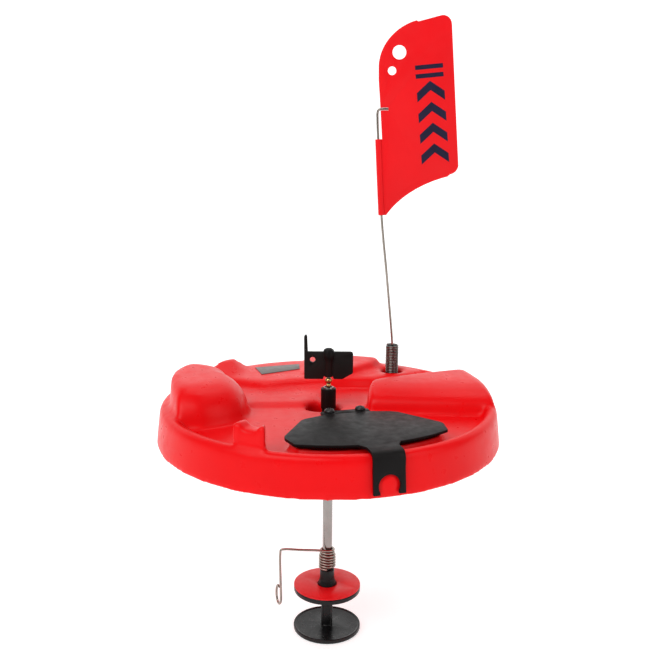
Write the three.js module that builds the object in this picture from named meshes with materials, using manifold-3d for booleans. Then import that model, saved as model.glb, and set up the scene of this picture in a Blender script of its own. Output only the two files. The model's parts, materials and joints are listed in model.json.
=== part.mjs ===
// Ice fishing tip up: a round hole cover with a shaft, line spool, trip plate and sprung flag.
// Units are millimetres, +Z is up. The origin is on the shaft axis, in the plane that rests on the ice.

import * as THREE from 'three';
import { mergeVertices } from 'three/addons/utils/BufferGeometryUtils.js';
import Module from 'manifold-3d';

const wasm = await Module();
wasm.setup();

// ---- driving dimensions -------------------------------------------------------------------------

const ROUND = 72; // facets round the cover
const FINE = 24; // facets round a small part
const GAP = 0.3; // clearance between pieces that sit together

const COVER_R = 133.35; // 10.5 inch cover
const RIM_TOP = 29.3;
const RIM_WALL = 4.3;
const LIP_R = 121.6; // inside of the rim
const FLOOR = 21.5; // front floor of the deck
const REAR_FLOOR = 24.5;
const DECK_UNDER = 18.5; // underside of the deck skin
const SHELF = 30;
const SKIN = 3; // skin over the hollow lobes
const COVER_PLATE = 2.6; // bottom cover thickness

const LEFT_LOBE_TOP = 49.5;
const RIGHT_LOBE_TOP = 41.5;
const REAR_LEFT_TOP = 38;
const REAR_CENTRE_TOP = 36;
const SADDLE_TOP = 45.5;
const SADDLE_DIP = 4;
const SADDLE_AZIMUTH = -114.5;

const LID_AZIMUTH = -72.6; // the lid, its tub and its tab are symmetrical about this line
const LID_HINGE_R = 46;
const LID_UNDER = 29.9;
const LID_THICK = 2;
const LID_ARC_R = 116;
const TAB_HALF = 11.3;
const TAB_LOW = 3.5;
const NOTCH_R = 7.7;
const NOTCH_Z = 9;
const TUB_FLOOR = 5;
const TUB_TOP = 29.4;
const TUB_WALL = 2.4;
const LID_SCREW_R = 41;
const LID_SCREW_SIDE = 12;

const TUBE_R = 3.97;
const TUBE_BORE = 3.2;
const TUBE_TOP = 39.3;
const TUBE_LOW = -112;
const COLLAR_R = 5.9;
const COLLAR_TOP = 38.3;
const COLLAR_LOW = FLOOR + GAP;
const ROD_R = 1.2;
const BUSH_HALF = [13.3, 9.3]; // half length and half width of the oval shaft bushing
const BUSH_CENTRE = [-4, 3.6];
const BUSH_LOW = 14; // top of its oval plate
const BUSH_BOSS_R = 5.2; // the boss in the middle, which the sleeve stands on
const BUSH_TOP = FLOOR;

const PLATE_HALF = 19;
const PLATE_LOW = 45.8;
const PLATE_TOP = 67.6;
const PLATE_THICK = 2.4;
const POST_WIDE = 2.8;
const POST_TOP = 81;
const HUB_R = 4.4;
const HUB_TOP = 70.6;

const FLANGE_R = 27.2;
const UPPER_FLANGE_TOP = -129;
const UPPER_FLANGE_THICK = 4.2;
const SPOOL_COLLAR_TOP = -114.7;
const LOWER_FLANGE_TOP = -164;
const LOWER_FLANGE_LOW = -167.2;
const HUB_CORE_R = 4.6;

const GUIDE_WIRE_R = 0.95;
const GUIDE_COIL_R = 6.05;
const GUIDE_GRIP_R = 5.25;
const GUIDE_PITCH = 2.3;
const GUIDE_COIL_LOW = -113.3;
const GUIDE_COIL_TURNS = 5;
const GUIDE_ARM = 38;
const GUIDE_EYE_LOW = -146;

const FLAG_X = 55.6; // foot of the flag spring
const FLAG_Y = 90;
const SPRING_R = 5.7;
const SPRING_BORE = 4.6;
const SPRING_LOW = 8.4;
const SPRING_TOP = 53;
const SPRING_HOLE_R = 9.1;
const FLAG_WIRE_R = 1;
const SHEET_THICK = 1.2;
const SLEEVE_R = 2.7;

const MOUNT_SCREWS = 6;
const MOUNT_SCREW_RING = 117;
const MOUNT_POST_R = 5;

const RED = { color: 0xe81c20, roughness: 0.3, metalness: 0 };
const BLACK = { color: 0x141314, roughness: 0.45, metalness: 0 };
const STEEL = { color: 0xb4b1ad, roughness: 0.22, metalness: 1 };
const BRASS = { color: 0xb08a4a, roughness: 0.3, metalness: 1 };

// ---- helpers ------------------------------------------------------------------------------------

const tipUp = new THREE.Group();

function material(look) {
  return new THREE.MeshStandardMaterial(look);
}

function solid(geometry) {
  const bare = geometry.clone();
  bare.deleteAttribute('normal');
  bare.deleteAttribute('uv');
  const merged = mergeVertices(bare, 1e-4);
  const mesh = new wasm.Mesh({
    numProp: 3,
    vertProperties: new Float32Array(merged.attributes.position.array),
    triVerts: new Uint32Array(merged.index.array),
  });
  mesh.merge();
  return new wasm.Manifold(mesh);
}

function geometryOf(shape) {
  const mesh = shape.getMesh();
  const geometry = new THREE.BufferGeometry();
  geometry.setAttribute('position', new THREE.BufferAttribute(new Float32Array(mesh.vertProperties), 3));
  geometry.setIndex(new THREE.BufferAttribute(new Uint32Array(mesh.triVerts), 1));
  geometry.computeVertexNormals();
  return geometry;
}

function add(name, geometry, look, parent = tipUp) {
  const mesh = new THREE.Mesh(geometry, material(look));
  mesh.name = name;
  parent.add(mesh);
  return mesh;
}

// A solid of revolution about Z from [radius, height] points that start and end on the axis or close.
function turned(points, facets = FINE) {
  const profile = points.map(([r, z]) => new THREE.Vector2(r, z));
  return new THREE.LatheGeometry(profile, facets).rotateX(Math.PI / 2);
}

function disc(radius, low, high, facets = FINE) {
  return turned([[0, low], [radius, low], [radius, high], [0, high]], facets);
}

function ring(outer, inner, low, high, facets = FINE) {
  return turned([[inner, low], [outer, low], [outer, high], [inner, high], [inner, low]], facets);
}

function outline(points) {
  return new THREE.Shape(points.map(([x, y]) => new THREE.Vector2(x, y)));
}

// An upright solid on an outline, from low to high. A shoulder rounds its top edge inwards.
function upright(shape, low, high, shoulder = 0, drop = shoulder, steps = 3) {
  const geometry = new THREE.ExtrudeGeometry(shape, {
    depth: high - low - 2 * drop,
    bevelEnabled: shoulder > 0,
    bevelSize: shoulder,
    bevelThickness: drop,
    bevelOffset: -shoulder,
    bevelSegments: steps,
    curveSegments: 10,
  });
  return geometry.translate(0, 0, low + drop);
}

// A mound on an outline: upright from low to shoulder, then drawn in towards a centre as it rounds over.
// Drawn is the share each side moves in: left, right, front, back.
function mound(shape, low, shoulder, high, centre, drawn) {
  const [left, right, front, back] = drawn;
  const rounds = 6;
  const geometry = new THREE.ExtrudeGeometry(shape, { depth: rounds, steps: rounds, bevelEnabled: false });
  const place = geometry.attributes.position;
  for (let i = 0; i < place.count; i += 1) {
    const level = Math.round(place.getZ(i));
    const angle = (Math.max(level - 1, 0) / (rounds - 1)) * (Math.PI / 2);
    const fall = 1 - Math.cos(angle);
    const z = level === 0 ? low : shoulder + (high - shoulder) * Math.sin(angle);
    const across = place.getX(i) - centre[0];
    const deep = place.getY(i) - centre[1];
    const x = centre[0] + across * (1 - (across < 0 ? left : right) * fall);
    const y = centre[1] + deep * (1 - (deep < 0 ? front : back) * fall);
    place.setXYZ(i, x, y, z);
  }
  return geometry;
}

// A solid on an outline with straight sides that lean in to a smaller top.
function tapered(shape, low, high, centre, keep) {
  const geometry = new THREE.ExtrudeGeometry(shape, { depth: 1, bevelEnabled: false });
  const place = geometry.attributes.position;
  for (let i = 0; i < place.count; i += 1) {
    const share = place.getZ(i) > 0.5 ? keep : 1;
    const x = centre[0] + (place.getX(i) - centre[0]) * share;
    const y = centre[1] + (place.getY(i) - centre[1]) * share;
    place.setXYZ(i, x, y, share < 1 ? high : low);
  }
  return geometry;
}

function box(x, y, z) {
  const geometry = new THREE.BoxGeometry(x[1] - x[0], y[1] - y[0], z[1] - z[0]);
  return geometry.translate((x[0] + x[1]) / 2, (y[0] + y[1]) / 2, (z[0] + z[1]) / 2);
}

function oval(half, centre) {
  const curve = new THREE.EllipseCurve(centre[0], centre[1], half[0], half[1]);
  return new THREE.Shape(curve.getPoints(28).slice(0, -1));
}

// Points on an arc about the origin, in degrees.
function arc(radius, from, to, steps) {
  const points = [];
  for (let i = 0; i <= steps; i += 1) {
    const angle = THREE.MathUtils.degToRad(from + ((to - from) * i) / steps);
    points.push([radius * Math.cos(angle), radius * Math.sin(angle)]);
  }
  return points;
}

// A round wire along a list of points.
function wire(points, radius, steps, sides = 8) {
  const path = new THREE.CatmullRomCurve3(points.map((p) => new THREE.Vector3(...p)), false, 'centripetal');
  const section = new THREE.Shape();
  for (let i = 0; i < sides; i += 1) {
    const angle = (2 * Math.PI * i) / sides;
    const corner = [radius * Math.cos(angle), radius * Math.sin(angle)];
    if (i === 0) section.moveTo(...corner);
    else section.lineTo(...corner);
  }
  section.closePath();
  return new THREE.ExtrudeGeometry(section, { steps, bevelEnabled: false, extrudePath: path });
}

function spun(geometry, degrees) {
  return geometry.rotateZ(THREE.MathUtils.degToRad(degrees));
}

// ---- the lid outline, shared by the lid and the tub under it ------------------------------------
// In the lid's own frame x is away from the shaft and y is sideways. Inset shrinks it all round.

function lidOutline(inset, inner) {
  const outer = LID_ARC_R - inset;
  const side = 59 - inset;
  const edge = Math.sqrt(outer * outer - side * side);
  const tip = THREE.MathUtils.radToDeg(Math.atan2(side, edge));
  const right = [[inner, 18.5 - inset * 0.4], [48 + inset, 23 - inset], [52 + inset, 36 - inset]];
  right.push([64 + inset * 0.6, 44 - inset], [82 + inset * 0.5, side - 3], [86, side]);
  const left = right.map(([x, y]) => [x, -y]);
  return outline([...left, ...arc(outer, -tip + 2, tip - 2, 14), ...right.reverse()]);
}

// ---- cover: deck, bottom cover, foam and their screws -------------------------------------------

function rimProfile() {
  return [
    [0, 0], [COVER_R, 0], [COVER_R - 0.9, 8], [COVER_R - 2.35, 20], [COVER_R - 2.9, 25],
    [COVER_R - 3.9, 27.6], [COVER_R - 5.2, 28.8], [COVER_R - 6.6, RIM_TOP], [LIP_R + 2.2, RIM_TOP],
    [LIP_R + 0.9, 28.7], [LIP_R, 27.2], [LIP_R - 0.6, FLOOR + 1.6], [LIP_R - 2.2, FLOOR], [0, FLOOR],
  ];
}

function leftLobe() {
  const foot = [
    [-66, 6], [-73, 14], [-80, 34], [-98, 44], ...arc(LIP_R + 1, 158, 207, 12), [-92, -55], [-84, -51],
    [-76, -46], [-70, -41], [-65, -35], [-62, -28], [-61, -18], [-62, -6],
  ];
  return mound(outline(foot), FLOOR - 3, FLOOR + 2, LEFT_LOBE_TOP, [-112, 8], [0.1, 0.55, 0.4, 0.4]);
}

// The right lobe runs out nearly flush with the rim and rounds over to its front and its right end.
function rightLobe() {
  const foot = [
    [31, -12], [33, -13.5], [70, -15.5], [100, -17], ...arc(COVER_R - 4.6, -7.5, 25, 9), [104, 54],
    [72, 40], [45, 22], [33, 10], [30, 0],
  ];
  return mound(outline(foot), FLOOR - 4, FLOOR + 6, RIGHT_LOBE_TOP, [104, 32], [0.07, 0.5, 0.75, 0.15]);
}

// A low rise of the rear shelf that is highest at the rim.
function rearLeftLobe() {
  const foot = [
    [-110, 48], [-98, 55], [-86, 58], [-76, 65], [-71.5, 78], [-71, 90], ...arc(LIP_R + 1, 125.5, 156, 9),
  ];
  return tapered(outline(foot), SHELF - 1, REAR_LEFT_TOP, [-90, 97], 0.3);
}

function rearCentreLobe() {
  const foot = [[-20, 76], [4, 66], [22, 73], [40, 94], [46, 106], ...arc(LIP_R + 1, 69, 100, 5)];
  return upright(outline(foot), FLOOR - 6, REAR_CENTRE_TOP, 3, 5, 3);
}

function rearShelf() {
  const foot = [
    [-112, 48], [-98, 56], [-84, 53], [-70, 47], [-54, 41], [-32, 50], [-8, 56], [18, 60], [40, 60],
    [56, 66], [74, 74], [84, 84], ...arc(LIP_R + 1, 46, 150, 15),
  ];
  return mound(outline(foot), FLOOR - 3, FLOOR + 1, SHELF, [12, 118], [0.05, 0.12, 0.12, 0.12]);
}

function rearFloor() {
  const foot = [[-104, 0], [-17, 5], [-9, 16], [-4, 40], [4, 62], [-60, 74], [-104, 60]];
  return upright(outline(foot), FLOOR - 3, REAR_FLOOR, 1.5, 1.5, 2);
}

// The saddle is a block on the rim with a dip in its top that the folded flag rests in.
function saddle() {
  const half = 12.3;
  const face = outline([
    [-half, FLOOR - 2], [half, FLOOR - 2], [half, SADDLE_TOP - 2], [half - 2, SADDLE_TOP],
    [half - 4.5, SADDLE_TOP], [half - 7, SADDLE_TOP - SADDLE_DIP], [7 - half, SADDLE_TOP - SADDLE_DIP],
    [4.5 - half, SADDLE_TOP], [2 - half, SADDLE_TOP], [-half, SADDLE_TOP - 2],
  ]);
  const block = new THREE.ExtrudeGeometry(face, { depth: 14, bevelEnabled: false });
  block.rotateX(Math.PI / 2).rotateZ(Math.PI / 2).translate(LIP_R - 9, 0, 0);
  const inner = LIP_R - 10;
  const outer = LIP_R + 6;
  const corner = outline([[inner, 4.9], [outer, half + 0.6], [outer, half + 4], [inner, half + 4]]);
  const trimmed = solid(block).subtract(solid(upright(corner, FLOOR - 3, SADDLE_TOP + 1)));
  return spun(geometryOf(trimmed), SADDLE_AZIMUTH);
}

function saddleHollow() {
  const low = DECK_UNDER - 1;
  const inside = box([LIP_R - 6.5, LIP_R + 2.5], [-9.5, 3.6], [low, SADDLE_TOP - SADDLE_DIP - SKIN]);
  return spun(inside, SADDLE_AZIMUTH);
}

// Room inside each lobe, open to the underside of the deck.
function lobeHollows() {
  const left = [[-76, -8], [-84, 22], ...arc(LIP_R - 16, 165, 197, 4), [-88, -30], [-76, -28]];
  const right = [[42, -7], ...arc(LIP_R - 2, -3, 20, 4), [98, 46], [72, 30]];
  const rearCentre = [[-12, 80], [4, 73], [18, 80], [34, 101], ...arc(LIP_R - 8, 74, 96, 4)];
  return [
    upright(outline(left), DECK_UNDER - 1, LEFT_LOBE_TOP - 12),
    upright(outline(right), DECK_UNDER - 1, RIGHT_LOBE_TOP - 9),
    upright(outline(rearCentre), DECK_UNDER - 1, REAR_CENTRE_TOP - SKIN),
  ];
}

function lidScrewPlaces() {
  return [LID_SCREW_SIDE, -LID_SCREW_SIDE];
}

// The tub is the box under the lid: its outside stands on the deck and its inside holds small tackle.
function tubOutside() {
  return spun(upright(lidOutline(3, LID_HINGE_R - 10), COVER_PLATE + GAP, TUB_TOP, 0.8, 0.8, 2), LID_AZIMUTH);
}

function tubInside() {
  return spun(upright(lidOutline(3 + TUB_WALL, LID_HINGE_R + 3), TUB_FLOOR, TUB_TOP + 4), LID_AZIMUTH);
}

function screwPlaces() {
  const places = [];
  for (let i = 0; i < MOUNT_SCREWS; i += 1) {
    const angle = THREE.MathUtils.degToRad(15 + (360 * i) / MOUNT_SCREWS);
    places.push([MOUNT_SCREW_RING * Math.cos(angle), MOUNT_SCREW_RING * Math.sin(angle)]);
  }
  return places;
}

function deckShell() {
  const skirtR = COVER_R - RIM_WALL;
  let deck = solid(turned(rimProfile(), ROUND));
  const raised = [
    rearFloor(), rearShelf(), rearLeftLobe(), rearCentreLobe(), leftLobe(), rightLobe(), saddle(),
  ];
  raised.forEach((piece) => {
    deck = deck.add(solid(piece));
  });
  deck = deck.subtract(solid(turned([[0, -30], [skirtR, -30], [skirtR, 17], [skirtR - 3, DECK_UNDER],
    [0, DECK_UNDER]], ROUND)));
  [...lobeHollows(), saddleHollow()].forEach((hollow) => {
    deck = deck.subtract(solid(hollow));
  });
  const stud = spun(disc(6.9, 0, 2.6).rotateY(Math.PI / 2).translate(COVER_R - 2.4, 0, NOTCH_Z), LID_AZIMUTH);
  const springWall = disc(SPRING_HOLE_R + 2.4, COVER_PLATE + GAP, DECK_UNDER + 1);
  const inside = [tubOutside(), stud, springWall.translate(FLAG_X, FLAG_Y, 0)];
  const sleeve = BUSH_HALF.map((half) => half + 2.6);
  inside.push(upright(oval(sleeve, BUSH_CENTRE), COVER_PLATE + GAP, DECK_UNDER + 1));
  screwPlaces().forEach(([x, y]) => {
    inside.push(disc(MOUNT_POST_R, COVER_PLATE + GAP, DECK_UNDER + 1, 20).translate(x, y, 0));
  });
  inside.forEach((piece) => {
    deck = deck.add(solid(piece));
  });
  const cuts = [tubInside(), disc(SPRING_HOLE_R, -5, SHELF + 5).translate(FLAG_X, FLAG_Y, 0)];
  const opening = BUSH_HALF.map((half) => half + GAP);
  cuts.push(upright(oval(opening, BUSH_CENTRE), -5, 60));
  screwPlaces().forEach(([x, y]) => {
    cuts.push(disc(1.8, -5, 15, 12).translate(x, y, 0));
  });
  lidScrewPlaces().forEach((side) => {
    cuts.push(spun(disc(1.7, 18, 40, 12).translate(LID_SCREW_R, side, 0), LID_AZIMUTH));
  });
  cuts.forEach((cut) => {
    deck = deck.subtract(solid(cut));
  });
  return geometryOf(deck);
}

function bottomCover() {
  const outer = COVER_R - RIM_WALL - GAP;
  let plate = solid(disc(outer, 0, COVER_PLATE, ROUND));
  plate = plate.subtract(solid(disc(6, -2, 6)));
  screwPlaces().forEach(([x, y]) => {
    plate = plate.subtract(solid(disc(1.8, -2, 6, 12).translate(x, y, 0)));
    plate = plate.subtract(solid(disc(3.9, -2, 1.5, 16).translate(x, y, 0)));
  });
  return geometryOf(plate);
}

function foamInsert() {
  const low = COVER_PLATE + GAP;
  let foam = solid(disc(COVER_R - RIM_WALL - 5, low, DECK_UNDER - GAP, 64));
  foam = foam.subtract(solid(disc(SPRING_HOLE_R + 3.4, 0, 30).translate(FLAG_X, FLAG_Y, 0)));
  foam = foam.subtract(solid(upright(oval(BUSH_HALF.map((half) => half + 3.6), BUSH_CENTRE), 0, 30)));
  foam = foam.subtract(solid(spun(upright(lidOutline(2, LID_HINGE_R - 11), 0, 30), LID_AZIMUTH)));
  screwPlaces().forEach(([x, y]) => {
    foam = foam.subtract(solid(disc(MOUNT_POST_R + 1, 0, 30, 20).translate(x, y, 0)));
  });
  return geometryOf(foam);
}

function coverScrew() {
  return turned([[0, 0.4], [3.5, 0.4], [3.5, 1.2], [1.5, 1.2], [1.5, 13], [0, 14.2]], 16);
}

function labelPlate() {
  const corners = outline([[-65, 92], [-57.5, 69], [-25.5, 88.5], [-26.5, 105.5]]);
  return upright(corners, SHELF + 0.1, SHELF + 0.6);
}

add('deck_shell', deckShell(), RED);
add('bottom_cover', bottomCover(), RED);
add('foam_insert', foamInsert(), { color: 0xe8e6df, roughness: 0.95, metalness: 0 });
screwPlaces().forEach(([x, y], i) => {
  add(`cover_screw_${i + 1}`, coverScrew(), STEEL).position.set(x, y, 0);
});
add('label_plate', labelPlate(), { color: 0x5f5350, roughness: 0.5, metalness: 0 });

// ---- lid ----------------------------------------------------------------------------------------

const lid = new THREE.Group();
lid.rotation.z = THREE.MathUtils.degToRad(LID_AZIMUTH);
tipUp.add(lid);

function hingeStrip() {
  const near = LID_HINGE_R - 7.5;
  const shape = outline([[near, -17.5], [near + 1, -18.5], [LID_HINGE_R, -18.5], [LID_HINGE_R, 18.5],
    [near + 1, 18.5], [near, 17.5]]);
  let strip = solid(upright(shape, LID_UNDER, LID_UNDER + LID_THICK));
  lidScrewPlaces().forEach((side) => {
    strip = strip.subtract(solid(disc(1.7, 20, 40, 12).translate(LID_SCREW_R, side, 0)));
  });
  return geometryOf(strip);
}

// The side view of the tab: along the lid, over the rim and down its outside.
function tabProfile() {
  const top = LID_UNDER + LID_THICK;
  return outline([
    [110, LID_UNDER], [127.6, LID_UNDER], [129.8, 29.4], [131.4, 27.9], [132, 25.6], [132, 20],
    [COVER_R + 0.5, TAB_LOW], [COVER_R + 2.5, TAB_LOW], [134, 20], [134, 26.6], [133, 29.4],
    [131.2, 31.2], [128.6, top], [110, top],
  ]);
}

function lidFlap() {
  let flap = solid(upright(lidOutline(0, LID_HINGE_R + GAP), LID_UNDER, LID_UNDER + LID_THICK));
  const neck = outline([[108, -18], [113.5, -16], [117.5, -13.4], [121, -TAB_HALF], [121, TAB_HALF],
    [117.5, 13.4], [113.5, 16], [108, 18]]);
  flap = flap.add(solid(upright(neck, LID_UNDER, LID_UNDER + LID_THICK)));
  const tab = new THREE.ExtrudeGeometry(tabProfile(), { depth: 2 * TAB_HALF, bevelEnabled: false });
  tab.rotateX(Math.PI / 2).translate(0, TAB_HALF, 0);
  flap = flap.add(solid(tab));
  flap = flap.subtract(solid(disc(NOTCH_R, -10, 10).rotateY(Math.PI / 2).translate(COVER_R, 0, NOTCH_Z)));
  flap = flap.subtract(solid(box([COVER_R - 6, COVER_R + 8], [-6.6, 6.6], [TAB_LOW - 3, NOTCH_Z])));
  return geometryOf(flap);
}

function panScrew() {
  const seat = LID_UNDER + LID_THICK;
  const head = [[3.9, seat + 0.1], [3.9, seat + 1.2], [3.1, seat + 2.2], [1.5, seat + 2.75], [0, seat + 2.8]];
  return turned([[0, 20.5], [1.4, 21.5], [1.4, seat + 0.1], ...head], 20);
}

add('lid_hinge_strip', hingeStrip(), BLACK, lid);
add('lid_flap', lidFlap(), BLACK, lid);
['lid_screw_left', 'lid_screw_right'].forEach((name, i) => {
  add(name, panScrew(), BLACK, lid).position.set(LID_SCREW_R, lidScrewPlaces()[1 - i], 0);
});

// ---- shaft --------------------------------------------------------------------------------------

function shaftBushing() {
  let bush = solid(upright(oval(BUSH_HALF, BUSH_CENTRE), COVER_PLATE + GAP, BUSH_LOW, 0.8, 0.8, 2));
  bush = bush.add(solid(disc(BUSH_BOSS_R, BUSH_LOW - 1, BUSH_TOP)));
  bush = bush.subtract(solid(disc(TUBE_R + 0.4, 0, 40)));
  return geometryOf(bush);
}

function tubeCollar() {
  const bore = TUBE_R + 0.15;
  return turned([
    [bore, COLLAR_LOW], [COLLAR_R - 0.3, COLLAR_LOW], [COLLAR_R, COLLAR_LOW + 0.4],
    [COLLAR_R, COLLAR_TOP - 0.4], [COLLAR_R - 0.3, COLLAR_TOP], [bore, COLLAR_TOP], [bore, COLLAR_LOW],
  ]);
}

add('shaft_bushing', shaftBushing(), BLACK);
add('tube_collar', tubeCollar(), BLACK);
add('outer_tube', ring(TUBE_R, TUBE_BORE, TUBE_LOW, TUBE_TOP), STEEL);
add('tube_bushing_upper', ring(TUBE_BORE - 0.15, ROD_R + 0.15, TUBE_TOP - 12, TUBE_TOP - 0.6, 20), BLACK);
add('tube_bushing_lower', ring(TUBE_BORE - 0.15, ROD_R + 0.15, TUBE_LOW + 0.6, TUBE_LOW + 12, 20), BLACK);

// ---- line guide: coil round the foot of the tube, arm, drop and eye ------------------------------

function lineGuide() {
  const points = [];
  const perTurn = 12;
  const turns = GUIDE_COIL_TURNS + 2;
  const start = -90 - 360 * turns;
  for (let i = 0; i <= turns * perTurn; i += 1) {
    const done = i / perTurn;
    const angle = THREE.MathUtils.degToRad(start + 360 * done);
    const squeeze = THREE.MathUtils.smoothstep(done, GUIDE_COIL_TURNS - 0.4, GUIDE_COIL_TURNS + 0.4);
    const radius = THREE.MathUtils.lerp(GUIDE_COIL_R, GUIDE_GRIP_R, squeeze);
    points.push([-radius * Math.cos(angle), radius * Math.sin(angle), GUIDE_COIL_LOW + GUIDE_PITCH * done]);
  }
  const top = GUIDE_COIL_LOW + GUIDE_PITCH * turns;
  const y = -GUIDE_GRIP_R;
  points.push([-6, y, top + 0.6], [-20, y, top + 0.9], [2.5 - GUIDE_ARM, y, top + 1.3]);
  points.push([0.6 - GUIDE_ARM, y, top + 0.7], [-GUIDE_ARM, y, top - 1.6]);
  const eyeTall = 8;
  const eyeWide = 5;
  const eyeMiddle = GUIDE_EYE_LOW + eyeTall;
  points.push([-GUIDE_ARM, y, -120], [-GUIDE_ARM + 0.4, y, eyeMiddle + 4]);
  for (let degrees = 0; degrees <= 290; degrees += 29) {
    const angle = THREE.MathUtils.degToRad(degrees);
    const across = eyeWide * (1 - Math.cos(angle));
    points.push([0.4 - GUIDE_ARM - across * 0.42, y + across * 0.9, eyeMiddle - eyeTall * Math.sin(angle)]);
  }
  return wire(points, GUIDE_WIRE_R, 150, 6);
}

add('line_guide', lineGuide(), STEEL);

// ---- rotor: rod, beads, trip plate and spool -----------------------------------------------------

function tripPlate() {
  const half = PLATE_HALF;
  const face = outline([
    [-half, PLATE_LOW + 0.6], [0.6 - half, PLATE_LOW], [-4.6, PLATE_LOW], [-3.6, PLATE_LOW + 2.2],
    [3.2, PLATE_LOW + 2.2], [4, PLATE_LOW], [10.6, PLATE_LOW], [half - 0.4, PLATE_LOW + 4.6],
    [half, PLATE_LOW + 5.4], [half, PLATE_TOP - 1.8], [half - 0.6, PLATE_TOP - 0.5],
    [half - 1.9, PLATE_TOP], [POST_WIDE - half, PLATE_TOP], [POST_WIDE - 0.5 - half, POST_TOP - 1.4],
    [POST_WIDE - 1 - half, POST_TOP - 0.3], [1.3 - half, POST_TOP], [0.3 - half, POST_TOP - 0.6],
    [-half - 0.2, POST_TOP - 1.6],
  ]);
  const plate = new THREE.ExtrudeGeometry(face, { depth: PLATE_THICK, bevelEnabled: false });
  plate.rotateX(Math.PI / 2).translate(0, PLATE_THICK / 2, 0);
  const hub = turned([
    [0, PLATE_LOW + 1.8], [3, PLATE_LOW + 1.8], [3.3, PLATE_TOP - 8], [HUB_R, PLATE_TOP - 5],
    [HUB_R, PLATE_TOP], [HUB_R - 0.7, PLATE_TOP + 1.7], [HUB_R - 2.2, HUB_TOP - 0.4], [0, HUB_TOP],
  ]);
  let trip = solid(plate).add(solid(hub));
  trip = trip.subtract(solid(disc(2.2, -5, 5, 20).rotateX(Math.PI / 2).translate(-12.5, 0, 61.3)));
  trip = trip.subtract(solid(disc(ROD_R + 0.15, 40, PLATE_TOP - 7, 16)));
  return geometryOf(trip);
}

function bead(radius, centre) {
  const profile = [];
  const bore = ROD_R + 0.15;
  const reach = Math.acos(bore / radius);
  for (let i = 0; i <= 6; i += 1) {
    const angle = -reach + (2 * reach * i) / 6;
    profile.push([radius * Math.cos(angle), centre + radius * Math.sin(angle)]);
  }
  profile.push(profile[0]);
  return turned(profile, 16);
}

function upperFlange() {
  const top = UPPER_FLANGE_TOP;
  const low = top - UPPER_FLANGE_THICK;
  const bore = ROD_R + 0.15;
  return turned([
    [bore, low], [FLANGE_R - 0.8, low], [FLANGE_R, low + 0.8], [FLANGE_R, top - 0.5], [FLANGE_R - 0.5, top],
    [7.7, top], [7.7, top + 2], [6.5, top + 4], [5.9, top + 7], [5.75, SPOOL_COLLAR_TOP - 0.5],
    [5.25, SPOOL_COLLAR_TOP], [bore, SPOOL_COLLAR_TOP], [bore, low],
  ], 36);
}

function spoolBody() {
  const top = UPPER_FLANGE_TOP - UPPER_FLANGE_THICK - GAP;
  const low = LOWER_FLANGE_LOW;
  const bore = ROD_R + 0.15;
  let body = solid(turned([
    [bore, low + 1.6], [3.8, low + 1.6], [3.8, low], [FLANGE_R - 0.6, low], [FLANGE_R + 0.3, low + 0.9],
    [FLANGE_R + 0.3, LOWER_FLANGE_TOP + 0.4], [FLANGE_R - 0.5, LOWER_FLANGE_TOP + 0.7],
    [FLANGE_R - 1.5, LOWER_FLANGE_TOP + 0.4], [FLANGE_R - 1.9, LOWER_FLANGE_TOP],
    [HUB_CORE_R + 0.8, LOWER_FLANGE_TOP], [HUB_CORE_R, LOWER_FLANGE_TOP + 0.8], [HUB_CORE_R, top],
    [bore, top], [bore, low + 1.6],
  ], 36));
  [45, 135, 225, 315].forEach((degrees) => {
    const rib = box([HUB_CORE_R - 1, HUB_CORE_R + 1.1], [-0.8, 0.8], [LOWER_FLANGE_TOP - 1, top]);
    body = body.add(solid(spun(rib, degrees)));
  });
  return geometryOf(body);
}

function spoolNut() {
  const hexagon = solid(disc(3.2, LOWER_FLANGE_LOW + 0.2, LOWER_FLANGE_LOW + 1.3, 6));
  return geometryOf(hexagon.subtract(solid(disc(ROD_R + 0.15, -170, -160, 16))));
}

add('inner_rod', disc(ROD_R, LOWER_FLANGE_LOW + 0.1, PLATE_TOP - 7.4, 16), STEEL);
add('bead_lower', bead(1.9, 40.4), BRASS);
add('bead_upper', bead(2.75, 44.3), BRASS);
add('trip_plate', tripPlate(), BLACK);
add('spool_upper_flange', upperFlange(), BLACK);
add('spool_disc', ring(FLANGE_R, 8, UPPER_FLANGE_TOP + 0.2, UPPER_FLANGE_TOP + 1.3, 36), RED);
add('spool_body', spoolBody(), BLACK);
add('spool_nut', spoolNut(), STEEL);

// ---- flag ---------------------------------------------------------------------------------------

const flag = new THREE.Group();
flag.position.set(FLAG_X, FLAG_Y, 0);
tipUp.add(flag);

// The wire's run in the flag's frame: straight in the ferrule, then a slight bow away from upright.
const WIRE_RUN = [[0, 43.5], [0, 53], [-0.4, 59], [-5.6, 110], [-11.6, 166], [-15.4, 228], [-16.4, 246]];

function springSocket() {
  const outer = SPRING_HOLE_R - GAP;
  return turned([
    [0, COVER_PLATE + GAP], [outer, COVER_PLATE + GAP], [outer, 19], [outer - 0.6, 19.6],
    [SPRING_R + 0.9, 19.6], [SPRING_R + GAP, 18.6], [SPRING_R + GAP, SPRING_LOW - GAP],
    [0, SPRING_LOW - GAP],
  ]);
}

function wireFerrule() {
  const bore = FLAG_WIRE_R + 0.2;
  return turned([
    [bore, 42.2], [3.6, 42.2], [4.1, 43.2], [4.1, 51.6], [3.4, 52.4], [bore, 52.4], [bore, 42.2],
  ], 20);
}

function flagWire(radius = FLAG_WIRE_R, sides = 8) {
  const points = WIRE_RUN.map(([x, z]) => [x, 0, z]);
  points.push([-16.4, 0, 250.6], [-15.6, 0, 252.9], [-13, 0, 253.6], [-7.5, 0, 253.7]);
  return wire(points, radius, 36, sides);
}

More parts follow.
